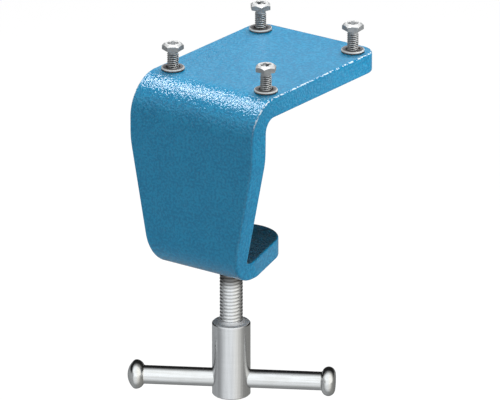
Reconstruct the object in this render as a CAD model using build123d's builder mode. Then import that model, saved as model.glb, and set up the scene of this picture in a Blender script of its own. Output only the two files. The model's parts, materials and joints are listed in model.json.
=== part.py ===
from build123d import *
from math import cos, radians, sin, tan
import os

# Bench clamp for a small vise, in millimetres. The origin lies on the clamping screw's axis, in the
# plane of the top plate's underside, which is the face that rests on the bench. X runs across the
# plate, Y from the web towards the plate's rear edge, and Z up.

# Top plate
plate_width = 102.8
plate_thickness = 14.3
plate_corner_radius = 13.0
edge_rounding = 1.5

# Four bolts that hold the vise, on a rectangle
bolt_spacing_y = 102.0
bolt_centre_y = 37.4
side_margin = 12.4
rear_margin = 14.3

# Web, which tapers from the plate's width to the lip's
web_reach = 46.8
web_thickness_top = 17.2
web_thickness_bottom = 14.8
outer_bend_radius = 28.0
inner_bend_radius = 9.0
taper_start = 28.5
taper_angle = 10.7
taper_blend_radius = 60.0

# Lip, a tongue with a round end that carries the screw
throat = 106.0
lip_thickness = 14.1
lip_reach = 37.4
lip_straight = 2.5
lip_taper_angle = 15.4
lip_blend_radius = 10.0
lower_bend_radius = 25.0
lower_inner_radius = 4.0

# Clamping screw: thread, hub for the bar, and the ball that carries the pad
thread_diameter = 16.0
thread_clearance = 0.05
thread_length = 80.0
thread_end_chamfer = 1.5
screw_neck_cone = 1.6
hub_diameter = 26.6
hub_length = 53.2
hub_chamfer = 0.8
hub_below_lip = 45.3
ball_diameter = 12.0
ball_neck_diameter = 8.0
ball_stem_length = 4.0
bore_chamfer = 1.2

# Sliding bar through the hub, with upset ends
bar_diameter = 13.0
bar_length = 144.0
bar_angle = 30.0
bar_above_hub_bottom = 11.6
bar_clearance = 0.1
knob_diameter = 20.5
domed_knob_length = 11.8
knob_dome_radius = 13.0
knob_edge_radius = 3.0
flat_knob_length = 9.2
knob_root_radius = 1.0

# Swivel pad on the ball
pad_diameter = 32.0
pad_rim_height = 5.0
pad_boss_diameter = 19.0
pad_crown = 3.0
pad_rim_slope = 2.0
socket_clearance = 0.05
socket_lip_depth = 3.2
pad_rounding = 1.0

# Bolts, part-way in, and their washers, which have dropped onto the plate
bolt_diameter = 8.0
bolt_neck_diameter = 7.1
bolt_neck_length = 2.6
bolt_length = 25.0
bolt_end_chamfer = 1.0
bolt_head_flats = 13.0
bolt_head_height = 4.4
bolt_head_chamfer_angle = 30.0
bolt_head_flat = 12.2
bolt_head_dish = 9.4
bolt_head_dish_depth = 0.5
recess_width = 6.4
recess_floor_width = 2.6
recess_slot = 1.8
recess_depth = 2.4
bolt_hole_clearance = 0.05
bolt_hole_chamfer = 0.8
washer_diameter = 16.0
washer_bore = 9.0
washer_thickness = 2.0
washer_rounding = 0.7
head_above_washer = {"front_left": 12.5, "front_right": 12.8, "back_left": 13.4, "back_right": 14.2}
bolt_turns = {"front_left": 35.9, "front_right": 47.9, "back_left": 10.9, "back_right": 35.9}


# Places worked out from the sizes above
bolt_spacing_x = plate_width - 2 * side_margin
plate_back = bolt_centre_y + bolt_spacing_y / 2 + rear_margin
lip_top = -throat
lip_bottom = lip_top - lip_thickness
web_front = -web_reach
web_inner_top = web_front + web_thickness_top
web_inner_bottom = web_front + web_thickness_bottom
web_taper = radians(taper_angle)
lip_half_width = plate_width / 2 - (throat - taper_start) * tan(web_taper)
lip_taper = radians(lip_taper_angle)
tongue_start = web_inner_bottom + lower_inner_radius + lip_straight
tongue_length = lip_reach - tongue_start
tip_radius = (lip_half_width * cos(lip_taper) - tongue_length * sin(lip_taper)) / (1 - sin(lip_taper))
tip_centre = lip_reach - tip_radius
hub_top = lip_bottom - hub_below_lip
hub_bottom = hub_top - hub_length
bar_z = hub_bottom + bar_above_hub_bottom
thread_top = hub_top + thread_length
ball_z = thread_top + ball_stem_length + ball_diameter / 2
thread_radius = thread_diameter / 2
hub_radius = hub_diameter / 2
ball_radius = ball_diameter / 2
bar_radius = bar_diameter / 2
bolt_radius = bolt_diameter / 2
socket_radius = ball_radius + socket_clearance
pad_top = ball_z + socket_radius + pad_crown
pad_bottom = ball_z - socket_lip_depth
rim_bottom = pad_top - pad_rim_height
bar_direction = Vector(cos(radians(bar_angle)), sin(radians(bar_angle)), 0)
bar_plane = Plane(origin=(0, 0, bar_z), x_dir=bar_direction, z_dir=(bar_direction.Y, -bar_direction.X, 0))
washer_top = plate_thickness + washer_thickness
bolt_places = {
    f"{depth}_{side}": (sx * bolt_spacing_x / 2, bolt_centre_y + sy * bolt_spacing_y / 2)
    for side, sx in (("left", -1), ("right", 1))
    for depth, sy in (("front", -1), ("back", 1))
}

os.makedirs("parts", exist_ok=True)


def save(part, name):
    """Label a finished piece and write it under its own name."""
    part.label = name
    export_step(part, f"parts/{name}.step")


def face_turn(edge, faces):
    """Angle in degrees between the two faces that meet along an edge."""
    middle = edge @ 0.5
    beside = [face for face in faces if any(edge.is_same(other) for other in face.edges())]
    return beside[0].normal_at(middle).get_angle(beside[-1].normal_at(middle))


def is_round(edge, radius):
    """True for a full or part circle of the given radius."""
    return edge.geom_type == GeomType.CIRCLE and abs(edge.radius - radius) < 1e-4


# Forged bracket: the side profile, cut to the front outline and to the lip's tongue
bend_radii = (0, 0, outer_bend_radius, lower_bend_radius, 0, 0, lower_inner_radius, inner_bend_radius)
with BuildPart() as bracket:
    with BuildSketch(Plane.YZ):
        with BuildLine():
            FilletPolyline(
                (plate_back, 0),
                (plate_back, plate_thickness),
                (web_front, plate_thickness),
                (web_front, lip_bottom),
                (lip_reach, lip_bottom),
                (lip_reach, lip_top),
                (web_inner_bottom, lip_top),
                (web_inner_top, 0),
                radius=bend_radii,
                close=True,
            )
        make_face()
    extrude(amount=plate_width / 2, both=True)

    # Seen from the front: full width at the plate, narrowing down the web
    outline_top = 2 * plate_thickness
    outline_bottom = lip_bottom - lip_thickness
    bottom_half_width = plate_width / 2 + (outline_bottom + taper_start) * tan(web_taper)
    with BuildSketch(Plane.XZ):
        with BuildLine():
            FilletPolyline(
                (plate_width / 2, outline_top),
                (plate_width / 2, -taper_start),
                (bottom_half_width, outline_bottom),
                radius=taper_blend_radius,
            )
            mirror(about=Plane.YZ)
            Line((plate_width / 2, outline_top), (-plate_width / 2, outline_top))
            Line((bottom_half_width, outline_bottom), (-bottom_half_width, outline_bottom))
        make_face()
    extrude(amount=2 * plate_back, both=True, mode=Mode.INTERSECT)

    # Seen from above: what lies outside the tongue is cut away, and the seam with the web's sides blended
    tip_x, tip_y = tip_radius * cos(lip_taper), tip_centre + tip_radius * sin(lip_taper)
    with BuildSketch(Plane.XY.offset(outline_bottom)):
        with Locations((0, tongue_start)):
            Rectangle(2 * plate_width, 2 * plate_width, align=(Align.CENTER, Align.MIN))
        with BuildLine():
            Line((lip_half_width, tongue_start), (tip_x, tip_y))
            mirror(about=Plane.YZ)
            ThreePointArc((tip_x, tip_y), (0, lip_reach), (-tip_x, tip_y))
            Line((lip_half_width, tongue_start), (-lip_half_width, tongue_start))
        make_face(mode=Mode.SUBTRACT)
    extrude(amount=3 * lip_thickness, mode=Mode.SUBTRACT)
    faces = bracket.faces()
    fillet(bracket.edges().filter_by(lambda edge: 5 < face_turn(edge, faces) < 25), lip_blend_radius)

    rear_corners = bracket.edges().filter_by(Axis.Z).group_by(Axis.Y)[-1]
    fillet(rear_corners, plate_corner_radius)
    faces = bracket.faces()
    fillet(bracket.edges().filter_by(lambda edge: face_turn(edge, faces) > 25), edge_rounding)

    # Tapped holes right through the plate, drawn at the thread's outer diameter, and the screw's bore
    hole_radius = bolt_radius + bolt_hole_clearance
    with Locations(*[(x, y, plate_thickness) for x, y in bolt_places.values()]):
        Hole(hole_radius, depth=plate_thickness)
    hole_mouths = bracket.edges().filter_by(lambda edge: is_round(edge, hole_radius))
    chamfer(hole_mouths.group_by(Axis.Z)[0], bolt_hole_chamfer)
    bore_radius = thread_radius + thread_clearance
    with Locations((0, 0, lip_top)):
        Hole(bore_radius, depth=lip_thickness)
    chamfer(bracket.edges().filter_by(lambda edge: is_round(edge, bore_radius)), bore_chamfer)

save(bracket.part, "bracket")

# Clamping screw, turned in one piece: hub, short cone, thread, and the ball above
with BuildPart() as clamp_screw:
    with BuildSketch(Plane.XZ):
        with BuildLine():
            Polyline(
                (0, ball_z),
                (0, hub_bottom),
                (hub_radius - hub_chamfer, hub_bottom),
                (hub_radius, hub_bottom + hub_chamfer),
                (hub_radius, hub_top - hub_chamfer),
                (hub_radius - hub_chamfer, hub_top),
                (thread_radius + screw_neck_cone, hub_top),
                (thread_radius, hub_top + screw_neck_cone),
                (thread_radius, thread_top - thread_end_chamfer),
                (thread_radius - thread_end_chamfer, thread_top),
                (ball_neck_diameter / 2, thread_top),
                (ball_neck_diameter / 2, ball_z),
                close=True,
            )
        make_face()
    revolve(axis=Axis.Z)
    with Locations((0, 0, ball_z)):
        Sphere(ball_radius)
    with BuildSketch(Plane(origin=(0, 0, bar_z), z_dir=bar_direction)):
        Circle(bar_radius + bar_clearance)
    extrude(amount=hub_diameter, both=True, mode=Mode.SUBTRACT)

save(clamp_screw.part, "clamp_screw")

# Sliding bar: a round rod with its ends upset into knobs, the first domed and the other flat
with BuildSketch() as domed_knob:
    SlotOverall(knob_diameter, domed_knob_length, rotation=90)
    with Locations((knob_dome_radius - domed_knob_length / 2, 0)):
        Circle(knob_dome_radius, mode=Mode.INTERSECT)
    fillet(domed_knob.vertices().group_by(Axis.X)[0], knob_edge_radius)

with BuildPart() as tommy_bar:
    with BuildSketch(bar_plane) as bar_profile:
        Rectangle(bar_length - domed_knob_length, bar_diameter)
        with Locations(((domed_knob_length - bar_length) / 2, 0)):
            add(domed_knob.sketch)
        with Locations(((bar_length - flat_knob_length) / 2, 0)):
            SlotOverall(knob_diameter, flat_knob_length, rotation=90)
        knob_roots = bar_profile.vertices().filter_by(lambda vertex: abs(abs(vertex.Y) - bar_radius) < 1e-4)
        fillet(knob_roots, knob_root_radius)
        Rectangle(bar_length, knob_diameter, align=(Align.CENTER, Align.MAX), mode=Mode.SUBTRACT)
    revolve(axis=Axis((0, 0, bar_z), bar_direction))

save(tommy_bar.part, "tommy_bar")

# Swivel pad: a disc with a boss below, in which the ball is held by the closed-in lip
with BuildPart() as pressure_pad:
    with BuildSketch(Plane.XZ):
        with BuildLine():
            Polyline(
                (0, pad_top),
                (pad_diameter / 2, pad_top),
                (pad_diameter / 2, rim_bottom),
                (pad_boss_diameter / 2, rim_bottom - pad_rim_slope),
                (pad_boss_diameter / 2, pad_bottom),
                (0, pad_bottom),
                close=True,
            )
        make_face()
    revolve(axis=Axis.Z)
    fillet(pressure_pad.edges().filter_by(lambda edge: is_round(edge, pad_diameter / 2)), pad_rounding)
    fillet(pressure_pad.edges().group_by(Axis.Z)[0], pad_rounding)
    with Locations((0, 0, ball_z)):
        Sphere(socket_radius, mode=Mode.SUBTRACT)

save(pressure_pad.part, "pressure_pad")

# Bolt, on its own axis with its head standing on Z = 0: a chamfered hex head with a dished top and a
# cross recess, then the neck and the thread
with BuildPart() as bolt:
    with BuildSketch(Plane.XY):
        RegularPolygon(bolt_head_flats / 2, 6, major_radius=False)
    extrude(amount=bolt_head_height)
    corner_drop = tan(radians(bolt_head_chamfer_angle)) * bolt_head_flats / 2
    with BuildSketch(Plane.XZ):
        with BuildLine():
            Polyline(
                (0, bolt_head_height - bolt_head_dish_depth),
                (bolt_head_dish / 2, bolt_head_height),
                (bolt_head_flat / 2, bolt_head_height),
                (bolt_head_flat / 2 + bolt_head_flats / 2, bolt_head_height - corner_drop),
                (bolt_head_flats, 0),
                (0, 0),
                close=True,
            )
        make_face()
    revolve(axis=Axis.Z, mode=Mode.INTERSECT)
    for plane in (Plane.XZ, Plane.YZ):
        with BuildSketch(plane):
            with BuildLine():
                Polyline(
                    (-recess_width / 2, bolt_head_height),
                    (recess_width / 2, bolt_head_height),
                    (recess_floor_width / 2, bolt_head_height - recess_depth),
                    (-recess_floor_width / 2, bolt_head_height - recess_depth),
                    close=True,
                )
            make_face()
        extrude(amount=recess_slot / 2, both=True, mode=Mode.SUBTRACT)
    with BuildSketch(Plane.XZ):
        with BuildLine():
            Polyline(
                (0, 0),
                (bolt_neck_diameter / 2, 0),
                (bolt_neck_diameter / 2, -bolt_neck_length),
                (bolt_radius, -bolt_neck_length - bolt_radius + bolt_neck_diameter / 2),
                (bolt_radius, -bolt_length + bolt_end_chamfer),
                (bolt_radius - bolt_end_chamfer, -bolt_length),
                (0, -bolt_length),
                close=True,
            )
        make_face()
    revolve(axis=Axis.Z)

# Washer, on its own axis, lying on the plate
with BuildPart() as washer:
    with Locations((0, 0, plate_thickness)):
        Cylinder(washer_diameter / 2, washer_thickness, align=(Align.CENTER, Align.CENTER, Align.MIN))
    fillet(washer.edges().filter_by(GeomType.CIRCLE), washer_rounding)
    Hole(washer_bore / 2)

for corner, (x, y) in bolt_places.items():
    head_z = washer_top + head_above_washer[corner]
    save(Pos(x, y, head_z) * Rot(0, 0, bolt_turns[corner]) * bolt.part, f"bolt_{corner}")
    save(Pos(x, y, 0) * washer.part, f"washer_{corner}")
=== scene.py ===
"""Looks of a bench clamp for a small vise: hammered blue enamel, turned and plated steel, cut threads."""

import sys

import json
import logging
import math
from contextlib import contextmanager
from dataclasses import dataclass, field
from enum import Enum
from typing import Any, ClassVar, Iterator, Optional, Protocol, Sequence, Union

import bmesh
import bpy
from mathutils import Color, Matrix, Vector

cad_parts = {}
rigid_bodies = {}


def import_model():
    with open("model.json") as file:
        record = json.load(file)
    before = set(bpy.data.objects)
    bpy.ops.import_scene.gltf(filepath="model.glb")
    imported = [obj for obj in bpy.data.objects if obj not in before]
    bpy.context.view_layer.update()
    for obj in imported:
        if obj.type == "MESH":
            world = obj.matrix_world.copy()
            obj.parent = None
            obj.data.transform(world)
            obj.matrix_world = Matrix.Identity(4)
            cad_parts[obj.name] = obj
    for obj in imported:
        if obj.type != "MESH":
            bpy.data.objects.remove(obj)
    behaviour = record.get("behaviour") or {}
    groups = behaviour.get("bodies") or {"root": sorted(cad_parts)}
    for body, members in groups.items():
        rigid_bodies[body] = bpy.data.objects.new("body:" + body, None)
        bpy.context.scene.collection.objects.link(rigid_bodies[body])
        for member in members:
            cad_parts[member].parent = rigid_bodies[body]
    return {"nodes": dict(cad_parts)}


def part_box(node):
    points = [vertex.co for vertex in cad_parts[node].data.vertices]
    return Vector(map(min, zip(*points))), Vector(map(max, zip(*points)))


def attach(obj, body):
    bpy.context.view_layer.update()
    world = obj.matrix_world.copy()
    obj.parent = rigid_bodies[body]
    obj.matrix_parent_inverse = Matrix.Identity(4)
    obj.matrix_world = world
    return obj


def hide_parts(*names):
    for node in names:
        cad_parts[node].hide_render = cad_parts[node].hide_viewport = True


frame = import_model()

log = logging.getLogger("clamp")

Point = tuple[float, float]
Place = tuple[float, float, float]
Range = tuple[float, float]
Colour = tuple[float, float, float]

MM = 0.001
WELD = 0.002 * MM
FULL_CHANNEL = 255
FULL_TURN = math.radians(360)
WHITE: Colour = (1.0, 1.0, 1.0)

BAR_ANGLE = math.radians(30.0)
VIEW_AZIMUTH = math.radians(35.87)
VIEW_ELEVATION = math.radians(20.27)
TO_VIEWER: Point = (math.sin(VIEW_AZIMUTH), -math.cos(VIEW_AZIMUTH))
FROM_VIEWER: Point = (-math.sin(VIEW_AZIMUTH), math.cos(VIEW_AZIMUTH))
TO_RIGHT: Point = (math.cos(VIEW_AZIMUTH), math.sin(VIEW_AZIMUTH))


def paint(red: int, green: int, blue: int) -> Colour:
    """Turns a colour as it looks on screen, 0 to 255 a channel, into linear light."""
    seen = Color([channel / FULL_CHANNEL for channel in (red, green, blue)])
    return tuple(seen.from_srgb_to_scene_linear())


def darker(colour: Colour, share: float) -> Colour:
    """Gives a share of a colour's light."""
    return tuple(channel * share for channel in colour)


class Signal:
    """The output of a shader node, with arithmetic that adds Math nodes."""

    def __init__(self, bench: "ShaderBench", socket: Optional[bpy.types.NodeSocket]) -> None:
        """Wraps an output socket of a material or world, or none for an end node."""
        self.bench = bench
        self.socket = socket

    def _math(self, operation: str, first: "Operand", second: "Operand") -> "Signal":
        """Adds a Math node for two operands."""
        return self.bench.node("ShaderNodeMath", {"operation": operation}, {0: first, 1: second})

    def __add__(self, other: "Operand") -> "Signal":
        """Adds."""
        return self._math("ADD", self, other)

    def __radd__(self, other: "Operand") -> "Signal":
        """Adds, with the number first."""
        return self._math("ADD", other, self)

    def __sub__(self, other: "Operand") -> "Signal":
        """Subtracts."""
        return self._math("SUBTRACT", self, other)

    def __rsub__(self, other: "Operand") -> "Signal":
        """Subtracts from a number."""
        return self._math("SUBTRACT", other, self)

    def __mul__(self, other: "Operand") -> "Signal":
        """Multiplies."""
        return self._math("MULTIPLY", self, other)

    def __pow__(self, other: "Operand") -> "Signal":
        """Raises to a power."""
        return self._math("POWER", self, other)


Operand = Union[float, Signal]


class ShaderBench:
    """A material or world in the making: its node tree and the ways in which nodes are added to it."""

    def __init__(self, owner: Union[bpy.types.Material, bpy.types.World]) -> None:
        """Empties the owner's node tree.

        Args:
            owner: The material or world that the nodes are for.
        """
        self.owner = owner
        owner.use_nodes = True
        self.tree = owner.node_tree
        self.tree.nodes.clear()

    def node(
        self,
        kind: str,
        settings: Optional[dict[str, Any]] = None,
        sockets: Optional[dict[Union[str, int], Any]] = None,
        output: Union[str, int] = 0,
    ) -> Signal:
        """Adds one node.

        Args:
            kind: The node's type.
            settings: Its properties, which are set first.
            sockets: Values or signals for its inputs, by name or number.
            output: The output that the signal stands for.

        Returns:
            The signal of that output, or of none for an end node.
        """
        made = self.tree.nodes.new(kind)
        for key, value in (settings or {}).items():
            setattr(made, key, value)
        for key, value in (sockets or {}).items():
            if isinstance(value, Signal):
                self.tree.links.new(value.socket, made.inputs[key])
            else:
                made.inputs[key].default_value = value
        return Signal(self, made.outputs[output] if made.outputs else None)

    def vector(self, operation: str, first: Any, second: Any = (0, 0, 0), output: str = "Vector") -> Signal:
        """Adds a Vector Math node for vectors or signals, with Value as its output where that is a number."""
        return self.node("ShaderNodeVectorMath", {"operation": operation}, {0: first, 1: second}, output)

    def along(self, where: Signal, direction: Point) -> Signal:
        """Measures how far a vector reaches along a level direction."""
        return self.vector("DOT_PRODUCT", where, (*direction, 0.0), "Value")

    def place(self, centre: Place = (0, 0, 0), turn: Place = (0, 0, 0), scale: Place = (1, 1, 1)) -> Signal:
        """Gives the piece's own coordinates with `centre` as their origin, stretched, then turned."""
        moved = self.vector("SUBTRACT", self.node("ShaderNodeTexCoord", output="Object"), centre)
        return self.node("ShaderNodeMapping", None, {"Vector": moved, "Rotation": turn, "Scale": scale})

    def facing(self) -> Signal:
        """Gives the direction that the surface faces."""
        return self.node("ShaderNodeNewGeometry", output="Normal")

    def attribute(self, name: str) -> Signal:
        """Gives a number that the mesh carries."""
        return self.node("ShaderNodeAttribute", {"attribute_name": name}, output="Fac")

    def ray(self, kind: str) -> Signal:
        """Gives 1 for a ray of this kind, such as Camera, and 0 for any other."""
        return self.node("ShaderNodeLightPath", output=f"Is {kind} Ray")

    def split(self, where: Signal) -> tuple[Signal, Signal, Signal]:
        """Takes a vector apart into X, Y and Z."""
        parts = self.node("ShaderNodeSeparateXYZ", None, {0: where}).socket.node.outputs
        return Signal(self, parts["X"]), Signal(self, parts["Y"]), Signal(self, parts["Z"])

    def noise(self, where: Signal, scale: float = 1.0, detail: float = 2.0, roughness: float = 0.5) -> Signal:
        """Adds cloudy noise between 0 and 1, with `scale` features a metre in as many octaves as `detail`."""
        sockets = {"Vector": where, "Scale": scale, "Detail": detail, "Roughness": roughness}
        return self.node("ShaderNodeTexNoise", None, sockets)

    def ease(self, value: Signal, start: float, end: float, low: float = 0.0, high: float = 1.0) -> Signal:
        """Goes smoothly from `low` to `high` while the value goes from `start` to `end`, up or down."""
        sockets = {"Value": value, "From Min": start, "From Max": end, "To Min": low, "To Max": high}
        return self.node("ShaderNodeMapRange", {"interpolation_type": "SMOOTHSTEP"}, sockets)

    def band(self, value: Signal, rise: Range, fall: Range) -> Signal:
        """Gives 1 in a band of values and 0 outside it, with a soft rise and fall."""
        return self.ease(value, *rise) * self.ease(value, fall[1], fall[0])

    def mottle(self, first: Signal, second: Signal, share: float, span: Range) -> Signal:
        """Mixes two noises, the second with this share, and eases a span of the mix to 0 to 1."""
        return self.ease(first * (1 - share) + second * share, *span)

    def blend(self, factor: Operand, first: Any, second: Any) -> Signal:
        """Mixes two colours or signals, with the second one's share as the factor."""
        first, second = (c if isinstance(c, Signal) else (*c, 1.0) for c in (first, second))
        return self.node("ShaderNodeMix", {"data_type": "RGBA"}, {0: factor, 6: first, 7: second}, output=2)

    def bump(self, height: Signal, distance: float = 1.0) -> Signal:
        """Bends the normal by a height, of which 1 measures `distance` metres."""
        return self.node("ShaderNodeBump", None, {"Height": height, "Distance": distance})

    def finish(self, **sockets: Any) -> bpy.types.Material:
        """Ends a material with a Principled shader, whose sockets' names take underscores for spaces."""
        named = {key.replace("_", " "): value for key, value in sockets.items()}
        return self.end(self.node("ShaderNodeBsdfPrincipled", None, named))

    def end(self, shader: Signal) -> Union[bpy.types.Material, bpy.types.World]:
        """Links a shader to the output.

        Args:
            shader: The last shader.

        Returns:
            The material or world.
        """
        what = "World" if isinstance(self.owner, bpy.types.World) else "Material"
        self.node("ShaderNodeOutput" + what, None, {"Surface": shader})
        return self.owner


class Finish(Protocol):
    """What a piece can be dressed with."""

    def make(self) -> bpy.types.Material:
        """Builds the finish's material."""


@dataclass(frozen=True)
class HammeredEnamel:
    """Thick glossy blue enamel with the fine orange peel of a hammer finish.

    Above the throat a pale painted highlight lies on its side edges, on the peel's crests where they
    face up. Below it, what faces up is darkened by painted shade. Noise scales are features a metre.
    """

    colour: Colour = paint(28, 150, 197)
    deep: Colour = paint(13, 131, 179)
    # Colour of the painted highlight on the side edges that face up.
    painted_highlight: Colour = paint(222, 240, 250)
    # Colour of the painted shade on what faces up below the throat.
    painted_shade: Colour = paint(14, 98, 122)
    peel: float = 600.0
    peel_depth: float = 0.2 * MM
    peel_range: Range = (0.22, 0.78)
    wave: float = 180.0
    wave_depth: float = 0.03 * MM
    cloud: float = 60.0
    cloud_share: float = 0.4
    tone_range: Range = (0.3, 0.7)
    roughness: float = 0.1
    cloud_roughness: float = 0.06
    throat: float = -85.0 * MM
    throat_fade: float = 15.0 * MM
    facing_up: Range = (0.6, 0.9)
    edge_start: Range = (0.02, 0.14)
    edge_end: Range = (0.6, 0.8)
    edge_lift: Range = (0.2, 0.6)
    highlight_crest: Range = (0.3, 0.6)

    def make(self) -> bpy.types.Material:
        """Builds the enamel's material.

        Returns:
            The material.
        """
        bench = ShaderBench(bpy.data.materials.new("hammered_enamel"))
        here = bench.place()
        peel = bench.noise(here, self.peel, detail=1.0)
        wave = bench.noise(here, self.wave, detail=1.0)
        cloud = bench.noise(here, self.cloud)
        height = bench.ease(peel, *self.peel_range)
        mottle = bench.mottle(height, cloud, self.cloud_share, self.tone_range)
        tone = bench.blend(mottle, self.deep, self.colour)
        across, _, up = bench.split(bench.facing())
        level = bench.split(here)[2] - self.throat
        # Painted shade: what faces up below the throat is darkened.
        darkening = bench.ease(level, 0.0, -self.throat_fade) * bench.ease(up, *self.facing_up)
        # Painted highlight: side edges that face up, on the peel's crests, above the throat.
        edge = bench.band(across * across, self.edge_start, self.edge_end) * bench.ease(up, *self.edge_lift)
        painted_highlight = edge * bench.ease(height, *self.highlight_crest) * bench.ease(level, 0.0, self.throat_fade)
        return bench.finish(
            Base_Color=bench.blend(painted_highlight, bench.blend(darkening, tone, self.painted_shade), self.painted_highlight),
            Roughness=self.roughness + cloud * self.cloud_roughness,
            Normal=bench.bump(height * self.peel_depth + wave * self.wave_depth),
        )


@dataclass(frozen=True)
class TurnedSteel:
    """Plated steel off the lathe: fine rings round the Z axis and thin streaks along it.

    Noise scales are features a metre, for the rings and the streaks one along each axis.
    """

    name: str = "turned_steel"
    colour: Colour = paint(218, 219, 221)
    groove_light: float = 0.88
    groove_depth: float = 0.008 * MM
    rings: Place = (15.0, 15.0, 1.0 / (0.45 * MM))
    streaks: Place = (900.0, 900.0, 25.0)
    streak_share: float = 0.55
    streak_height: float = 0.4
    grain_range: Range = (0.35, 0.65)
    cloud: float = 120.0
    roughness: float = 0.2
    cloud_roughness: float = 0.08

    def make(self) -> bpy.types.Material:
        """Builds the turned steel's material."""
        bench = ShaderBench(bpy.data.materials.new(self.name))
        return bench.finish(**self._skin(bench))

    def _skin(self, bench: ShaderBench) -> dict[str, Operand]:
        """Works out how the bare steel looks.

        Args:
            bench: The material.

        Returns:
            The Principled shader's sockets.
        """
        rings = bench.noise(bench.place(scale=self.rings), detail=3.0, roughness=0.6)
        streaks = bench.noise(bench.place(scale=self.streaks))
        cloud = bench.noise(bench.place(), self.cloud)
        grain = bench.mottle(rings, streaks, self.streak_share, self.grain_range)
        height = rings * (1 - self.streak_height) + streaks * self.streak_height
        return {
            "Base_Color": bench.blend(grain, darker(self.colour, self.groove_light), self.colour),
            "Metallic": 1.0,
            "Roughness": self.roughness + cloud * self.cloud_roughness,
            "Normal": bench.bump(height, self.groove_depth),
        }


@dataclass(frozen=True)
class ScrewSteel(TurnedSteel):
    """Turned steel for the clamping screw, with greyer thread roots and a duller cone and hub face.

    The hub face is also darkened by painted shade, and a dark band of painted shadow from the lip goes
    round the thread under it. Heights are measured from the hub's upper face, and the painted shadow's
    from the lip's underside.
    """

    hub_top: float = -165.4 * MM
    crest: float = 8.0 * MM
    thread_depth: float = 0.65 * MM
    lip_bottom: float = -120.1 * MM
    root: Colour = paint(214, 214, 213)
    root_depth: Range = (0.3, 0.85)
    root_roughness: float = 0.2
    thread_start: Range = (1.4 * MM, 2.4 * MM)
    face_start: Range = (-0.2 * MM, -0.1 * MM)
    face_end: Range = (0.1 * MM, 0.4 * MM)
    face_matte: float = 0.3
    # Share of painted shade on the hub's upper face.
    face_shade: float = 0.25
    cone_end: Range = (1.2 * MM, 2.0 * MM)
    cone_matte: float = 0.6
    cone_roughness: float = 0.1
    # Colour of the painted shadow under the lip and of the painted shade on the hub face.
    shadow_tone: Colour = paint(52, 48, 44)
    lip_shadow_start: Range = (-19.9 * MM, -11.4 * MM)
    lip_shadow_end: Range = (-8.0 * MM, -2.05 * MM)
    lip_shadow_strength: float = 0.85

    def _skin(self, bench: ShaderBench) -> dict[str, Operand]:
        """Adds the roots, the dull cone and face and the oil to the bare steel.

        Args:
            bench: The material.

        Returns:
            The Principled shader's sockets.
        """
        skin = super()._skin(bench)
        x, y, z = bench.split(bench.place())
        depth = self.crest - (x * x + y * y) ** 0.5
        level = z - self.hub_top
        root = bench.ease(depth, *(share * self.thread_depth for share in self.root_depth))
        root = root * bench.ease(level, *self.thread_start)
        face = bench.band(level, self.face_start, self.face_end)
        cone = bench.band(level, self.face_start, self.cone_end)
        # Painted shadow of the lip: a dark band round the thread just under it.
        lip_shadow = bench.band(z - self.lip_bottom, self.lip_shadow_start, self.lip_shadow_end)
        # Painted shade: the lip's shadow band and the darker hub face.
        shade = lip_shadow * self.lip_shadow_strength + face * self.face_shade
        skin["Base_Color"] = bench.blend(shade, bench.blend(root, skin["Base_Color"], self.root), self.shadow_tone)
        skin["Metallic"] = skin["Metallic"] - (cone * self.cone_matte + face * self.face_matte)
        dull = root * self.root_roughness + cone * self.cone_roughness + face * self.face_matte
        skin["Roughness"] = skin["Roughness"] + dull
        return skin


@dataclass(frozen=True)
class DrawnSteel:
    """Bright zinc-plated steel, drawn along the bar, with soft stains and a fine grain."""

    colour: Colour = paint(222, 223, 224)
    stain: Colour = paint(208, 208, 206)
    edge_colour: Colour = darker(WHITE, 0.7)
    cloud: float = 150.0
    grain: float = 900.0
    grain_share: float = 0.75
    grain_depth: float = 0.008 * MM
    stain_range: Range = (0.3, 0.75)
    draw: Place = (0.06, 1.0, 1.0)
    roughness: float = 0.14
    cloud_roughness: float = 0.06
    grain_roughness: float = 0.05

    def make(self) -> bpy.types.Material:
        """Builds the drawn steel's material.

        Returns:
            The material.
        """
        bench = ShaderBench(bpy.data.materials.new("bar_steel_finish"))
        lengthwise = bench.place(turn=(0, 0, -BAR_ANGLE))
        cloud = bench.noise(bench.place(), self.cloud)
        grain = bench.noise(bench.vector("MULTIPLY", lengthwise, self.draw), self.grain)
        stains = bench.mottle(cloud, grain, self.grain_share, self.stain_range)
        return bench.finish(
            Base_Color=bench.blend(stains, self.colour, self.stain),
            Metallic=1.0,
            Roughness=self.roughness + cloud * self.cloud_roughness + grain * self.grain_roughness,
            Normal=bench.bump(grain, self.grain_depth),
            Specular_Tint=(*self.edge_colour, 1.0),
        )


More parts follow.
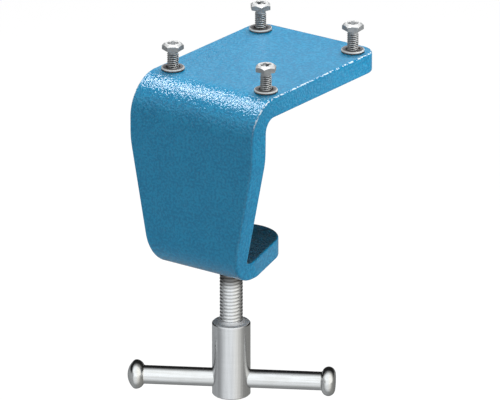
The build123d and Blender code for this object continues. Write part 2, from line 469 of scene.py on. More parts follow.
@dataclass(frozen=True)
class WasherSteel:
    """Stamped zinc-plated steel: a dull face, a painted highlight on its rolled rim, painted shade
    below and inside.

    All four washers share it. It folds their places onto one corner of their rectangle, so that each finds
    its own middle. Heights are measured from the washers' upper face.
    """

    spacing: Point
    centre: float
    top: float
    face: Colour = paint(176, 174, 176)
    # Colour of the painted highlight along the rim.
    rim_highlight: Colour = paint(244, 243, 240)
    # Dark colour for the grain's dirt and for the painted shade inside and below.
    darkening: Colour = paint(56, 52, 52)
    grain: float = 1300.0
    grain_grime: float = 0.5
    grain_depth: float = 0.015 * MM
    upper_start: Range = (-1.15 * MM, -0.75 * MM)
    upper_waver: float = 0.2 * MM
    rim_highlight_start: Range = (7.3 * MM, 7.7 * MM)
    rim_highlight_waver: float = 0.3 * MM
    inside_end: Range = (4.6 * MM, 5.7 * MM)
    inside_shade: float = 0.8
    lower_shade: float = 0.75
    metal: float = 0.35
    roughness: float = 0.5
    grain_roughness: float = 0.05
    gloss: float = 0.2

    def make(self) -> bpy.types.Material:
        """Builds the washers' material.

        Returns:
            The material.
        """
        bench = ShaderBench(bpy.data.materials.new("washer_plating"))
        x, y, z = bench.split(bench.vector("ABSOLUTE", bench.place((0, self.centre, 0))))
        across, along = x - self.spacing[0] / 2, y - self.spacing[1] / 2
        radius = (across * across + along * along) ** 0.5
        grain = bench.noise(bench.place(), self.grain)
        upper = bench.ease(z - self.top + grain * self.upper_waver, *self.upper_start)
        # Painted highlight: a bright line round the upper rim.
        rim_highlight = bench.ease(radius + grain * self.rim_highlight_waver, *self.rim_highlight_start) * upper
        inside = 1 - bench.ease(radius, *self.inside_end)
        tone = bench.blend(rim_highlight, bench.blend(grain * self.grain_grime, self.face, self.darkening), self.rim_highlight)
        # Painted shade: inside round the bolt and on the lower edge.
        painted_shade = inside * self.inside_shade + (1 - upper) * self.lower_shade
        return bench.finish(
            Base_Color=bench.blend(painted_shade, tone, self.darkening),
            Metallic=self.metal,
            Roughness=self.roughness + grain * self.grain_roughness,
            Normal=bench.bump(grain, self.grain_depth),
            Specular_IOR_Level=self.gloss,
        )


@dataclass(frozen=True)
class BoltSteel:
    """Cold-headed zinc-plated steel: polished tops with a painted sheen, dull flats, a painted glint down the
    thread and dark roots of painted shade.

    The sheen is brighter on faces turned to the viewer and up. The mesh's attributes tell where: one for how
    much polish and sheen a face gets, `thread`, which is 1 on the thread, and `root`, which goes to 1 at the
    thread's bottom and is part of that in the recess. The roots' painted shade is lighter where they turn
    left.
    """

    # Colour of the polished tops' painted sheen and of the thread's painted glint.
    bright: Colour = paint(250, 251, 251)
    dull: Colour = paint(163, 166, 168)
    # Colour of the painted shade in the thread's roots and the recess.
    root: Colour = paint(24, 25, 27)
    edge_colour: Colour = darker(WHITE, 0.8)
    grain: float = 1100.0
    grain_depth: float = 0.01 * MM
    cloud: float = 260.0
    cloud_share: float = 0.5
    stained_light: float = 0.8
    stain_range: Range = (0.35, 0.65)
    level: float = 0.8
    level_weight: float = 5.0
    sheen_range: Range = (0.05, 0.4)
    least_polish_and_sheen: float = 0.25
    glint_start: Range = (-0.1, 0.3)
    glint_end: Range = (0.6, 0.85)
    root_range: Range = (0.35, 0.7)
    lit_root_start: Range = (-0.9, -0.75)
    lit_root_end: Range = (-0.5, -0.2)
    lit_root_share: float = 0.6
    metal: float = 0.35
    roughness: float = 0.36
    polish_smoothing: float = 0.18
    cloud_roughness: float = 0.08

    def make(self) -> bpy.types.Material:
        """Builds the bolts' material.

        Returns:
            The material.
        """
        bench = ShaderBench(bpy.data.materials.new("bolt_plating"))
        grain = bench.noise(bench.place(), self.grain)
        cloud = bench.noise(bench.place(), self.cloud)
        stains = bench.mottle(grain, cloud, self.cloud_share, self.stain_range)
        tone = bench.blend(stains, darker(self.dull, self.stained_light), self.dull)
        facing = bench.facing()
        front, side = bench.along(facing, TO_VIEWER), bench.along(facing, TO_RIGHT)
        lift = (bench.split(facing)[2] - self.level) * self.level_weight
        # Painted sheen: faces turned to the viewer and up get more of the bright colour.
        sheened = bench.ease(front + lift, *self.sheen_range)
        # Painted glint down the thread, on faces turned a little to the right.
        glint = bench.band(side, self.glint_start, self.glint_end)
        polish = bench.attribute("polish") * self._at_least(sheened)
        polish = polish + bench.attribute("thread") * self._at_least(glint)
        # Painted shade in the roots and the recess, lighter on faces turned to the left.
        lit = bench.band(side, self.lit_root_start, self.lit_root_end) * self.lit_root_share
        dark = bench.ease(bench.attribute("root"), *self.root_range) * (1 - lit)
        return bench.finish(
            Base_Color=bench.blend(dark, bench.blend(polish, tone, self.bright), self.root),
            Metallic=self.metal,
            Roughness=self.roughness - polish * self.polish_smoothing + cloud * self.cloud_roughness,
            Normal=bench.bump(grain, self.grain_depth),
            Specular_Tint=(*self.edge_colour, 1.0),
        )

    def _at_least(self, share: Signal) -> Signal:
        """Lifts a share of polish and painted sheen so that it doesn't fall below the least."""
        return share * (1 - self.least_polish_and_sheen) + self.least_polish_and_sheen


class Combine(Enum):
    """How a tool changes a piece."""

    JOIN = "UNION"
    CUT = "DIFFERENCE"
    TRIM = "INTERSECT"


class Pick(Enum):
    """What is selected in edit mode."""

    POINTS = "VERT"
    FACES = "FACE"


class Workshop:
    """Steps at the bench that every new piece is modelled with."""

    @staticmethod
    def pick(piece: bpy.types.Object) -> None:
        """Selects one piece alone and makes it active.

        Args:
            piece: The piece.
        """
        bpy.ops.object.select_all(action="DESELECT")
        piece.select_set(True)
        bpy.context.view_layer.objects.active = piece

    @staticmethod
    @contextmanager
    def editing(piece: bpy.types.Object, what: Pick = Pick.POINTS) -> Iterator[bmesh.types.BMesh]:
        """Opens a piece in edit mode.

        Args:
            piece: The piece.
            what: What is selected.

        Yields:
            Its mesh, for selecting by place.
        """
        Workshop.pick(piece)
        bpy.ops.object.mode_set(mode="EDIT")
        bpy.ops.mesh.select_mode(type=what.value)
        yield bmesh.from_edit_mesh(piece.data)
        bpy.ops.object.mode_set(mode="OBJECT")

    @staticmethod
    def line(name: str, points: Sequence[Point]) -> bpy.types.Object:
        """Draws an open line in the XZ plane by extruding one vertex from point to point.

        Args:
            name: The new object's name.
            points: Distances from the Z axis and heights, in metres.

        Returns:
            The line.
        """
        bpy.ops.mesh.primitive_plane_add(size=MM)
        piece = bpy.context.object
        piece.name = name
        with Workshop.editing(piece):
            bpy.ops.mesh.select_all(action="SELECT")
            bpy.ops.mesh.merge(type="CENTER")
            bpy.ops.transform.translate(value=(points[0][0], 0, points[0][1]))
            for (x0, z0), (x1, z1) in zip(points, points[1:]):
                bpy.ops.mesh.extrude_region_move(TRANSFORM_OT_translate={"value": (x1 - x0, 0, z1 - z0)})
        return piece

    @staticmethod
    def turned(name: str, points: Sequence[Point], steps: int) -> bpy.types.Object:
        """Turns an outline round the Z axis, as on a lathe.

        Args:
            name: The new piece's name.
            points: The outline, with both ends on the axis.
            steps: Faces round the axis.

        Returns:
            The closed piece.
        """
        piece = Workshop.line(name, points)
        with Workshop.editing(piece):
            bpy.ops.mesh.select_all(action="SELECT")
            bpy.ops.mesh.spin(steps=steps, angle=FULL_TURN, center=(0, 0, 0), axis=(0, 0, 1))
        Workshop.close(piece)
        return piece

    @staticmethod
    def close(piece: bpy.types.Object) -> None:
        """Joins what lies together and turns every face outwards.

        Args:
            piece: The piece.
        """
        with Workshop.editing(piece):
            bpy.ops.mesh.select_all(action="SELECT")
            bpy.ops.mesh.remove_doubles(threshold=WELD)
            bpy.ops.mesh.normals_make_consistent(inside=False)

    @staticmethod
    def modify(piece: bpy.types.Object, kind: str, **settings: Any) -> None:
        """Adds a modifier and applies it.

        Args:
            piece: The piece.
            kind: The modifier's type.
            **settings: Its properties.
        """
        modifier = piece.modifiers.new(kind.lower(), kind)
        for key, value in settings.items():
            setattr(modifier, key, value)
        Workshop.pick(piece)
        bpy.ops.object.modifier_apply(modifier=modifier.name)

    @staticmethod
    def combine(piece: bpy.types.Object, tool: bpy.types.Object, how: Combine) -> None:
        """Joins, cuts or trims a piece with a tool, which is used up."""
        Workshop.modify(piece, "BOOLEAN", object=tool, operation=how.value, solver="EXACT")
        bpy.data.objects.remove(tool)

    @staticmethod
    def smooth(piece: bpy.types.Object, angle: float) -> None:
        """Shades a piece smooth, apart from edges sharper than the angle in degrees."""
        Workshop.pick(piece)
        bpy.ops.object.shade_smooth_by_angle(angle=math.radians(angle))

    @staticmethod
    def settle(piece: bpy.types.Object, move: Matrix) -> None:
        """Moves a piece's mesh to its place, with the object left at the origin.

        Args:
            piece: The piece.
            move: Where it goes.
        """
        piece.matrix_world = move
        Workshop.pick(piece)
        bpy.ops.object.transform_apply(location=True, rotation=True, scale=True)

    @staticmethod
    def dress(piece: bpy.types.Object, material: bpy.types.Material) -> None:
        """Gives every slot of a piece one material.

        Args:
            piece: The piece.
            material: The material.
        """
        if not piece.material_slots:
            piece.data.materials.append(material)
        for slot in piece.material_slots:
            slot.material = material


@dataclass
class Thread:
    """A right-handed thread round the Z axis, with broad rounded crests and narrow roots."""

    diameter: float
    pitch: float
    depth: float
    narrowness: float
    steps: int = 48
    points: int = 12
    spare_turns: int = 3

    @property
    def crest(self) -> float:
        """The radius of its crests."""
        return self.diameter / 2

    def rod(self, name: str, low: float, high: float) -> bpy.types.Object:
        """Winds a threaded rod, flat at both ends.

        Args:
            name: The new piece's name.
            low: The height of its lower end, in metres.
            high: The height of its upper end.

        Returns:
            The rod.
        """
        start = low - self.spare_turns / 2 * self.pitch
        outline = []
        for index in range(self.points + 1):
            share = index / self.points
            sunk = abs(math.cos(math.pi * share)) ** self.narrowness
            outline.append((self.crest - self.depth * sunk, start + share * self.pitch))
        rod = Workshop.line(name, outline)
        turns = math.ceil((high - low) / self.pitch) + self.spare_turns
        settings = {"axis": "Z", "angle": FULL_TURN, "screw_offset": self.pitch, "iterations": turns}
        Workshop.modify(rod, "SCREW", steps=self.steps, render_steps=self.steps, **settings)
        Workshop.close(rod)
        for height, upper in ((low, False), (high, True)):
            with Workshop.editing(rod):
                bpy.ops.mesh.select_all(action="SELECT")
                bpy.ops.mesh.bisect(
                    plane_co=(0, 0, height),
                    plane_no=(0, 0, 1),
                    use_fill=True,
                    clear_inner=not upper,
                    clear_outer=upper,
                )
        Workshop.close(rod)
        return rod


@dataclass
class KeptPiece:
    """A piece that keeps its CAD mesh and gets a finish."""

    node: str
    finish: Finish
    reflected: bool = True

    def build(self) -> list[bpy.types.Object]:
        """Dresses the piece.

        Returns:
            The piece, in a list.
        """
        piece = frame["nodes"][self.node]
        piece.visible_glossy = self.reflected
        Workshop.dress(piece, self.finish.make())
        return [piece]


@dataclass
class Bracket(KeptPiece):
    """The forged bracket. Its blue stays out of the steel's reflections, as in the photograph."""

    node: str = "bracket"
    finish: Finish = HammeredEnamel()
    reflected: bool = False


@dataclass
class TommyBar(KeptPiece):
    """The sliding bar with its two knobs."""

    node: str = "tommy_bar"
    finish: Finish = DrawnSteel()


@dataclass
class PressurePad(KeptPiece):
    """The swivel pad on the screw's upper end."""

    node: str = "pressure_pad"
    finish: Finish = TurnedSteel("pad_finish")


@dataclass
class WasherSet:
    """The four washers, which keep their CAD meshes and share one finish."""

    prefix: str = "washer"

    def build(self) -> list[bpy.types.Object]:
        """Dresses the washers, with their rectangle read from the frame.

        Returns:
            The four washers.
        """
        washers = {name: piece for name, piece in frame["nodes"].items() if name.startswith(self.prefix)}
        boxes = [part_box(name) for name in washers]
        middles = [(low + high) / 2 for low, high in boxes]
        across, along = [middle.x for middle in middles], [middle.y for middle in middles]
        spacing = (max(across) - min(across), max(along) - min(along))
        centre = (max(along) + min(along)) / 2
        material = WasherSteel(spacing, centre, top=boxes[0][1].z).make()
        for washer in washers.values():
            Workshop.dress(washer, material)
        return list(washers.values())


@dataclass
class ClampScrew:
    """The clamping screw: hub with its cross bore, cone, thread, and the ball above."""

    node: str = "clamp_screw"
    hub_radius: float = 13.3 * MM
    hub_bottom: float = -218.6 * MM
    hub_top: float = -165.4 * MM
    hub_chamfer: float = 0.8 * MM
    cone: float = 1.6 * MM
    thread_top: float = -85.4 * MM
    thread_end: float = 1.5 * MM
    ball_height: float = -75.4 * MM
    ball_radius: float = 6.0 * MM
    ball_points: int = 16
    neck_radius: float = 4.0 * MM
    bore_height: float = -207.0 * MM
    bore_radius: float = 6.6 * MM
    bore_reach: float = 30.0 * MM
    overlap: float = 2.0 * MM
    spare_across: float = 0.4 * MM
    spare_along: float = 0.5 * MM
    sharpest: float = 32.0
    steps: int = 96
    bore_steps: int = 72
    ball_steps: int = 48
    thread: Thread = field(default_factory=lambda: Thread(16.0 * MM, 2.5 * MM, 0.65 * MM, narrowness=5.0))

    def build(self) -> list[bpy.types.Object]:
        """Models the screw and dresses it.

        Returns:
            The finished piece, in a list.
        """
        screw = self._hub()
        Workshop.combine(screw, self._thread(), Combine.JOIN)
        Workshop.combine(screw, self._ball(), Combine.JOIN)
        Workshop.combine(screw, self._bore(), Combine.CUT)
        Workshop.close(screw)
        Workshop.smooth(screw, self.sharpest)
        screw.name = "screw_with_hub"
        finish = ScrewSteel(hub_top=self.hub_top, crest=self.thread.crest, thread_depth=self.thread.depth)
        Workshop.dress(screw, finish.make())
        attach(screw, "screw")
        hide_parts(self.node)
        return [screw]

    def _hub(self) -> bpy.types.Object:
        """Turns the hub and the cone that leads into the thread.

        Returns:
            The hub.
        """
        crest = self.thread.crest
        inside = self.hub_top + 2 * self.cone
        outline = [
            (0, self.hub_bottom),
            (self.hub_radius - self.hub_chamfer, self.hub_bottom),
            (self.hub_radius, self.hub_bottom + self.hub_chamfer),
            (self.hub_radius, self.hub_top - self.hub_chamfer),
            (self.hub_radius - self.hub_chamfer, self.hub_top),
            (crest + self.cone, self.hub_top),
            (crest, self.hub_top + self.cone),
            (crest - self.cone, inside),
            (0, inside),
        ]
        return Workshop.turned("clamp_screw_turned", outline, self.steps)

    def _thread(self) -> bpy.types.Object:
        """Winds the thread and chamfers its upper end.

        Returns:
            The threaded rod, from inside the hub up.
        """
        crest = self.thread.crest
        rod = self.thread.rod("clamp_screw_thread", self.hub_top - self.overlap, self.thread_top)
        low, high = self.hub_top - 2 * self.overlap, self.thread_top + self.spare_along
        outline = [
            (0, low),
            (crest + self.spare_across, low),
            (crest + self.spare_across, self.thread_top - self.thread_end - self.spare_across),
            (crest - self.thread_end - self.spare_along, high),
            (0, high),
        ]
        Workshop.combine(rod, Workshop.turned("trim", outline, self.steps), Combine.TRIM)
        return rod

    def _ball(self) -> bpy.types.Object:
        """Turns the ball and its neck.

        Returns:
            The ball, with its neck down into the thread.
        """
        foot = self.thread_top - self.overlap
        outline: list[Point] = [(0, foot), (self.neck_radius, foot)]
        opening = math.asin(self.neck_radius / self.ball_radius)
        for index in range(self.ball_points):
            angle = opening + (math.pi - opening) * index / self.ball_points
            height = self.ball_height - self.ball_radius * math.cos(angle)
            outline.append((self.ball_radius * math.sin(angle), height))
        outline.append((0, self.ball_height + self.ball_radius))
        return Workshop.turned("ball", outline, self.ball_steps)

    def _bore(self) -> bpy.types.Object:
        """Turns the rod that drills the bar's bore and lays it across the hub.

        Returns:
            The rod.
        """
        reach, radius = self.bore_reach, self.bore_radius
        outline = [(0, -reach), (radius, -reach), (radius, reach), (0, reach)]
        bore = Workshop.turned("bore", outline, self.bore_steps)
        turn = Matrix.Rotation(BAR_ANGLE, 4, "Z") @ Matrix.Rotation(FULL_TURN / 4, 4, "Y")
        Workshop.settle(bore, Matrix.Translation((0, 0, self.bore_height)) @ turn)
        return bore


@dataclass
class Bolt:
    """A hex bolt with a dished, cross-recessed head, modelled once with its head's seat at the origin."""

    flats: float = 13.0 * MM
    blank_share: float = 0.6
    hexagon_above: float = 4.4 * MM
    head: float = 4.4 * MM
    flat_radius: float = 5.3 * MM
    chamfer: float = 37.0
    dish_radius: float = 4.4 * MM
    dish_depth: float = 0.12 * MM
    dish_points: int = 6
    neck_radius: float = 3.55 * MM
    neck: float = 2.6 * MM
    neck_flare: float = 0.35 * MM
    neck_foot: Point = (0.5 * MM, 0.6 * MM)
    neck_reach: float = 2.0 * MM
    length: float = 25.0 * MM
    end: float = 1.0 * MM
    runout: float = 0.75 * MM
    runout_depth: float = 0.3 * MM
    overlap: float = 0.1 * MM
    spare_across: float = 0.2 * MM
    spare_along: float = 0.5 * MM
    recess: float = 7.6 * MM
    recess_floor: float = 3.0 * MM
    recess_slot: float = 2.1 * MM
    recess_slot_flare: float = 1.25
    recess_depth: float = 2.4 * MM
    recess_margin: float = 0.5 * MM
    recess_above: float = 1.0 * MM
    recess_below: float = 1.0 * MM
    # Which of the head's faces get polish and painted sheen: near its top and turned up.
    sheen_depth: float = 2.0 * MM
    sheen_lift: float = 0.5
    flat_lift: float = 0.9
    dish_polish_and_sheen: float = 0.72
    # Share of the roots' painted shade that the recess gets.
    recess_dark: float = 0.44
    sharpest: float = 27.0
    head_steps: int = 72
    steps: int = 64
    thread: Thread = field(
        default_factory=lambda: Thread(8.0 * MM, 1.4 * MM, 0.75 * MM, narrowness=2.0, steps=36, points=8)
    )

    def build(self) -> bpy.types.Object:
        """Models the bolt on its own axis.

        Returns:
            The finished piece, at the origin.
        """
        bolt = self._head()
        neck = self._neck()
        Workshop.combine(neck, self._shank(), Combine.JOIN)
        Workshop.combine(bolt, neck, Combine.JOIN)
        Workshop.close(bolt)
        Workshop.smooth(bolt, self.sharpest)
        self._mark(bolt)
        return bolt

    def _shank(self) -> bpy.types.Object:
        """Winds the thread, chamfers its end and lets it run out below the neck.

        Returns:
            The threaded shank.
        """
        crest = self.thread.crest
        shank = self.thread.rod("bolt_thread", -self.length, -self.neck)
        bottom, top = -self.length - self.spare_along, -self.neck + self.overlap
        outline = [
            (0, bottom),
            (crest - self.end - self.spare_along, bottom),
            (crest + self.spare_across, -self.length + self.end + self.spare_across),
            (crest + self.spare_across, -self.neck - self.runout),
            (self.neck_radius - self.runout_depth, top),
            (0, top),
        ]
        Workshop.combine(shank, Workshop.turned("trim", outline, self.steps), Combine.TRIM)
        return shank

    def _neck(self) -> bpy.types.Object:
        """Turns the plain neck between the head and the thread.

        Returns:
            The neck.
        """
        inset, drop = self.neck_foot
        outline = [
            (0, -self.neck - self.neck_reach),
            (self.neck_radius - inset, -self.neck - drop),
            (self.neck_radius, -self.neck),
            (self.neck_radius, -self.neck_flare),
            (self.neck_radius + self.neck_flare, self.overlap),
            (0, self.overlap),
        ]
        return Workshop.turned("neck", outline, self.steps)

    def _mark(self, bolt: bpy.types.Object) -> None:
        """Marks the faces for polish and painted sheen, and the recess and the thread's roots for painted
        shade, for the finish.

        Args:
            bolt: The bolt, at the origin.
        """
        mesh = bolt.data
        polish = mesh.attributes.new("polish", "FLOAT", "FACE")
        thread = mesh.attributes.new("thread", "FLOAT", "FACE")
        root = mesh.attributes.new("root", "FLOAT", "CORNER")
        for face in mesh.polygons:
            middle, lift = face.center, face.normal.z
            recessed = self._is_recessed(middle, lift)
            threaded = middle.z < -self.neck
            polish.data[face.index].value = 0.0 if recessed else self._polish_and_sheen(middle, lift)
            thread.data[face.index].value = float(threaded)
            for corner in face.loop_indices:
                spot = mesh.vertices[mesh.loops[corner].vertex_index].co
                root.data[corner].value = self._depth(spot) if threaded else self.recess_dark * recessed

    def _is_recessed(self, spot: Vector, lift: float) -> bool:
        """Tells whether a face is in the cross recess: in the head's middle, and either steep or deep."""
        inside = spot.z > 0 and math.hypot(*spot.xy) < self.dish_radius - self.recess_margin
        return inside and (lift < self.flat_lift or spot.z < self.head - self.recess_below)

    def _polish_and_sheen(self, spot: Vector, lift: float) -> float:
        """Tells how much polish and painted sheen a face gets: 1 on the head's chamfer and ring, less in
        its dish, else 0.
        """
        sheened = spot.z > self.head - self.sheen_depth and lift > self.sheen_lift
        return sheened * (self.dish_polish_and_sheen if math.hypot(*spot.xy) < self.dish_radius else 1.0)

    def _depth(self, spot: Vector) -> float:
        """Tells how deep in the thread a place lies: 0 on a crest, 1 in a root, fading in below the neck."""
        depth = (self.thread.crest - math.hypot(*spot.xy)) / self.thread.depth
        return depth * min(1.0, max(0.0, (-self.neck - spot.z) / self.thread.pitch))

    def _head(self) -> bpy.types.Object:
        """Models the head: a turned blank trimmed to six flats, with the recess pressed in.

        Returns:
            The head.
        """
        blank = self.flats * self.blank_share
        drop = math.tan(math.radians(self.chamfer)) * (blank - self.flat_radius)
        outline: list[Point] = [(0, 0), (blank, 0), (blank, self.head - drop)]
        outline += [(self.flat_radius, self.head), (self.dish_radius, self.head)]
        for index in range(1, self.dish_points + 1):
            share = 1 - index / self.dish_points
            outline.append((self.dish_radius * share, self.head - self.dish_depth * (1 - share**2)))
        head = Workshop.turned("bolt", outline, self.head_steps)
        half_side = FULL_TURN / 12
        bpy.ops.mesh.primitive_cylinder_add(
            vertices=6,
            radius=self.flats / 2 / math.cos(half_side),
            depth=2 * (self.head + self.hexagon_above),
            rotation=(0, 0, half_side),
        )
        hexagon = bpy.context.object
        Workshop.settle(hexagon, hexagon.matrix_world.copy())
        Workshop.combine(head, hexagon, Combine.TRIM)
        for turn in (0.0, FULL_TURN / 4):
            Workshop.combine(head, self._wing(turn), Combine.CUT)
        return head

    def _wing(self, turn: float) -> bpy.types.Object:
        """Models one of the two crossing wedges that press the recess.

        Args:
            turn: Its angle about the bolt's axis, in radians.

        Returns:
            The wedge.
        """
        above = self.recess_above
        height = self.recess_depth + above
        slope = (self.recess - self.recess_floor) / 2 / self.recess_depth
        widening = 1 + 2 * slope * height / self.recess_floor
        bpy.ops.mesh.primitive_cube_add(size=1)
        wing = bpy.context.object
        size = Matrix.Diagonal((self.recess_floor, self.recess_slot, height, 1))
        Workshop.settle(wing, Matrix.Translation((0, 0, self.head + above - height / 2)) @ size)
        with Workshop.editing(wing, Pick.FACES) as mesh:
            for face in mesh.faces:
                face.select_set(face.normal.z > self.flat_lift)
            bpy.ops.transform.resize(value=(widening, self.recess_slot_flare, 1))
        Workshop.settle(wing, Matrix.Rotation(turn, 4, "Z"))
        return wing


class Corner(Enum):
    """The four bolts, each with its CAD node and its turn about its axis in degrees."""

    FRONT_LEFT = ("bolt_front_left", 35.9)
    FRONT_RIGHT = ("bolt_front_right", 57.5)
    BACK_LEFT = ("bolt_back_left", 10.9)
    BACK_RIGHT = ("bolt_back_right", 35.9)

    def __init__(self, node: str, turn: float) -> None:
        """Names the two values, the turn in radians."""
        self.node = node
        self.turn = math.radians(turn)


@dataclass
class BoltSet:
    """The four bolts that hold the vise."""

    pattern: Bolt = field(default_factory=Bolt)
    finish: Finish = BoltSteel()

    def build(self) -> list[bpy.types.Object]:
        """Models one bolt and copies it to the four places.

        Returns:
            The four bolts.
        """
        first = self.pattern.build()
        Workshop.dress(first, self.finish.make())
        bolts = []
        for corner in Corner:
            low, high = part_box(corner.node)
            Workshop.pick(first)
            bpy.ops.object.duplicate(linked=False)
            bolt = bpy.context.object
            centre = (low + high) / 2
            seat = Vector((centre.x, centre.y, high.z - self.pattern.head))
            Workshop.settle(bolt, Matrix.Translation(seat) @ Matrix.Rotation(corner.turn, 4, "Z"))
            bolt.name = "threaded_" + corner.node
            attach(bolt, "bracket")
            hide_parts(corner.node)
            bolts.append(bolt)
        bpy.data.objects.remove(first)
        return bolts


@dataclass
class Softbox:
    """A soft lamp that lights the whole object and isn't mirrored in it.

    At a level of 1 a face turned to it shows its colour about as written.
    """

    name: str
    direction: Place
    distance: float
    size: tuple[float, float]
    level: float
    aim: Place = (0.0, 0.0, 0.0)
    mirrored: ClassVar[bool] = False
    lights: ClassVar[bool] = True

    def hang(self) -> bpy.types.Object:
        """Hangs the lamp, turned to its aim.

        Returns:
            The lamp.
        """
        light = bpy.data.lights.new(self.name, "AREA")
        light.shape = "RECTANGLE"
        light.size, light.size_y = self.size
        light.energy = self.level * math.pi**2 * self.distance**2
        lamp = bpy.data.objects.new(self.name, light)
        bpy.context.scene.collection.objects.link(lamp)
        way = Vector(self.direction).normalized()
        lamp.location = Vector(self.aim) + way * self.distance
        lamp.rotation_euler = way.to_track_quat("Z", "Y").to_euler()
        lamp.visible_camera = False
        lamp.visible_glossy = self.mirrored
        lamp.visible_diffuse = self.lights
        return lamp


@dataclass
class GlossPanel(Softbox):
    """A lamp that only shows as a reflection, and only in the pieces whose names start with `mirror`."""

    mirrored: ClassVar[bool] = True
    lights: ClassVar[bool] = False
    mirror: ClassVar[str] = "bracket"

    def hang(self) -> bpy.types.Object:
        """Hangs the panel and links it to its pieces, which alone can also stand in its way.

        Returns:
            The panel.
        """
        panel = super().hang()
        mirrors = bpy.data.collections.new(self.name + "_mirrors")
        for piece in bpy.context.scene.objects:
            if piece.name.startswith(self.mirror):
                mirrors.objects.link(piece)
        panel.light_linking.receiver_collection = mirrors
        panel.light_linking.blocker_collection = mirrors
        return panel


@dataclass
class BoltPanel(GlossPanel):
    """A gloss panel for the bolts."""

    mirror: ClassVar[str] = "threaded_bolt"


@dataclass
class Camera:
    """The photograph's camera, far off so that it hardly foreshortens.

    Its near clip also sets how finely the bumps are sampled, so the enamel's grain on the bend hangs on it.
    """

    distance: float = 5.0
    pixels_per_mm: float = 1.47
    pixels_across: float = 500.0
    sensor: float = 36.0
    right: float = 12.898 * MM
    up: float = -71.65 * MM
    clip: Range = (0.5, 50.0)

    def place(self) -> None:
        """Places the camera at the photograph's viewing angle."""
        level = math.cos(VIEW_ELEVATION)
        back = Vector((TO_VIEWER[0] * level, TO_VIEWER[1] * level, math.sin(VIEW_ELEVATION)))
        side = Vector((*TO_RIGHT, 0.0))
        data = bpy.data.cameras.new("camera")
        data.sensor_width = self.sensor
        data.lens = self.sensor * self.pixels_per_mm * self.distance / MM / self.pixels_across
        data.clip_start, data.clip_end = self.clip
        camera = bpy.data.objects.new("camera", data)
        bpy.context.scene.collection.objects.link(camera)
        camera.location = back * self.distance + side * self.right + back.cross(side) * self.up
        camera.rotation_euler = back.to_track_quat("Z", "Y").to_euler()
        bpy.context.scene.camera = camera


@dataclass
class Surroundings:
    """The world: white behind the object, and for metal a wall and a pale floor, bright on the viewer's side.

    The wall is darker at its low left, and the floor brighter at its far left and darker farthest off. Ranges
    are shares of a direction: towards the viewer, to the viewer's right, or up.
    """

    fill: float = 0.1
    far_wall: float = 0.02
    near_wall: float = 1.4
    wall_turn: Range = (-0.5, 0.45)
    left_wall: Range = (-0.4, -0.8)
    left_wall_height: Range = (0.5, 0.25)
    left_wall_loss: float = 0.6
    far_floor: float = 0.33
    near_floor: float = 1.08
    floor_turn: Range = (0.12, 0.95)
    farthest_floor: Range = (-0.1, -0.4)
    farthest_floor_loss: float = 0.12
    left_floor: Range = (0.2, -0.6)
    left_floor_depth: Range = (0.15, 0.0)
    left_floor_gain: float = 0.45
    horizon: Range = (-0.005, 0.005)
    cool: Colour = (0.955, 0.985, 1.0)
    warm: Colour = (1.0, 0.99, 0.94)
    warm_turn: Range = (-0.1, 0.7)

    def make(self) -> bpy.types.World:
        """Builds the world.

        Returns:
            The world.
        """
        bench = ShaderBench(bpy.data.worlds.new("surroundings"))
        way = bench.node("ShaderNodeTexCoord", output="Generated")
        near, aside, up = bench.along(way, TO_VIEWER), bench.along(way, TO_RIGHT), bench.split(way)[2]
        wall = bench.ease(near, *self.wall_turn, self.far_wall, self.near_wall)
        low_left = bench.ease(aside, *self.left_wall) * bench.ease(up, *self.left_wall_height)
        floor = bench.ease(near, *self.floor_turn, self.far_floor, self.near_floor)
        floor = floor * (1 - bench.ease(near, *self.farthest_floor) * self.farthest_floor_loss)
        far_left = bench.ease(aside, *self.left_floor) * bench.ease(near, *self.left_floor_depth)
        above = bench.ease(up, *self.horizon)
        mirrored = wall * (1 - low_left * self.left_wall_loss) * above
        mirrored = mirrored + floor * (1 + far_left * self.left_floor_gain) * (1 - above)
        straight = bench.ray("Camera") + bench.ray("Transmission")
        strength = straight + (1 - straight) * mirrored * (self.fill + bench.ray("Glossy") * (1 - self.fill))
        tint = bench.blend(bench.ease(aside, *self.warm_turn), self.cool, self.warm)
        sockets = {"Color": bench.blend(straight, tint, WHITE), "Strength": strength}
        return bench.end(bench.node("ShaderNodeBackground", None, sockets))


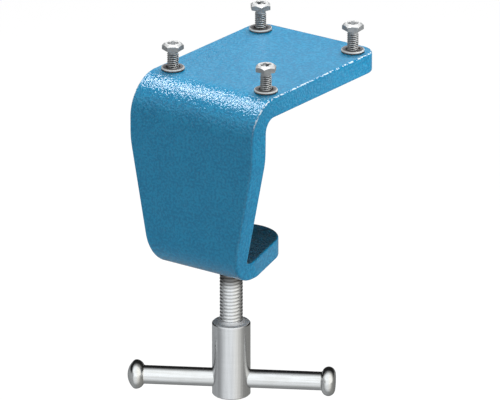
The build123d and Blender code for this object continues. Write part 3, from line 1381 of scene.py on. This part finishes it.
@dataclass
class Floor:
    """A pale floor below the lowest place of the screw. It looks white and keeps a soft shadow."""

    height: float = -252.0 * MM
    radius: float = 12.0
    sides: int = 96
    pale: Colour = darker(WHITE, 0.5)
    seen_pale: Colour = darker(WHITE, 0.12)
    glow: float = 0.92

    def lay(self) -> None:
        """Lays the floor."""
        bpy.ops.mesh.primitive_circle_add(
            vertices=self.sides, radius=self.radius, fill_type="NGON", location=(0, 0, self.height)
        )
        floor = bpy.context.object
        floor.name = "floor"
        Workshop.settle(floor, floor.matrix_world.copy())
        floor.visible_glossy = False
        bench = ShaderBench(bpy.data.materials.new("pale_floor"))
        seen = bench.ray("Camera")
        tone = bench.blend(seen, self.pale, self.seen_pale)
        sheet = bench.node("ShaderNodeBsdfDiffuse", None, {"Color": tone})
        glow = bench.node("ShaderNodeEmission", None, {"Color": (*WHITE, 1.0), "Strength": seen * self.glow})
        Workshop.dress(floor, bench.end(bench.node("ShaderNodeAddShader", None, {0: sheet, 1: glow})))


@dataclass
class Studio:
    """Camera, surroundings, floor, lamps, and gloss panels for the bracket's and the bolts' highlights."""

    camera: Camera = field(default_factory=Camera)
    surroundings: Surroundings = field(default_factory=Surroundings)
    floor: Floor = field(default_factory=Floor)
    lamps: tuple[Softbox, ...] = (
        Softbox("overhead", (-0.1, 0.28, 0.95), 1.2, (0.6, 0.6), level=1.28),
        Softbox("front", (-0.15, -0.95, 0.2), 1.2, (0.7, 0.7), level=0.315),
        Softbox("right", (0.88, 0.38, -0.05), 0.34, (0.15, 0.15), level=0.93, aim=(0.051, 0.03, 0.0)),
        GlossPanel("strip", (-0.55, 0.08, 0.83), 0.8, (0.42, 0.18), level=0.57, aim=(0.0, -0.03, 0.0)),
        GlossPanel("flank", (0.55, 0.76, -0.35), 0.2, (0.06, 0.03), level=0.017, aim=(0.051, 0.04, 0.007)),
        GlossPanel("card", (*FROM_VIEWER, 0.45), 0.19, (0.29, 0.19), level=0.315, aim=(0.01, 0.03, 0.045)),
        BoltPanel("zenith", (0.12, -0.16, 0.98), 0.8, (0.7, 0.7), level=0.3),
        BoltPanel("back_card", (*FROM_VIEWER, 0.4), 0.5, (0.6, 0.3), level=0.12, aim=(0.0, 0.04, 0.03)),
    )

    def build(self) -> None:
        """Sets the whole studio up."""
        self.camera.place()
        bpy.context.scene.world = self.surroundings.make()
        self.floor.lay()
        for lamp in self.lamps:
            lamp.hang()
        bpy.context.scene.view_settings.view_transform = "Standard"


def main() -> None:
    """Builds the clamp's looks and the studio, and reports each piece."""
    logging.basicConfig(level=logging.INFO, format="%(name)s: %(message)s", stream=sys.stdout)
    bpy.context.view_layer.update()

    for assembly in (Bracket(), ClampScrew(), BoltSet(), TommyBar(), PressurePad(), WasherSet()):
        for piece in assembly.build():
            log.info("%s: %d faces", piece.name, len(piece.data.polygons))

    Studio().build()
    bpy.context.view_layer.update()


if __name__ == "__main__":
    main()
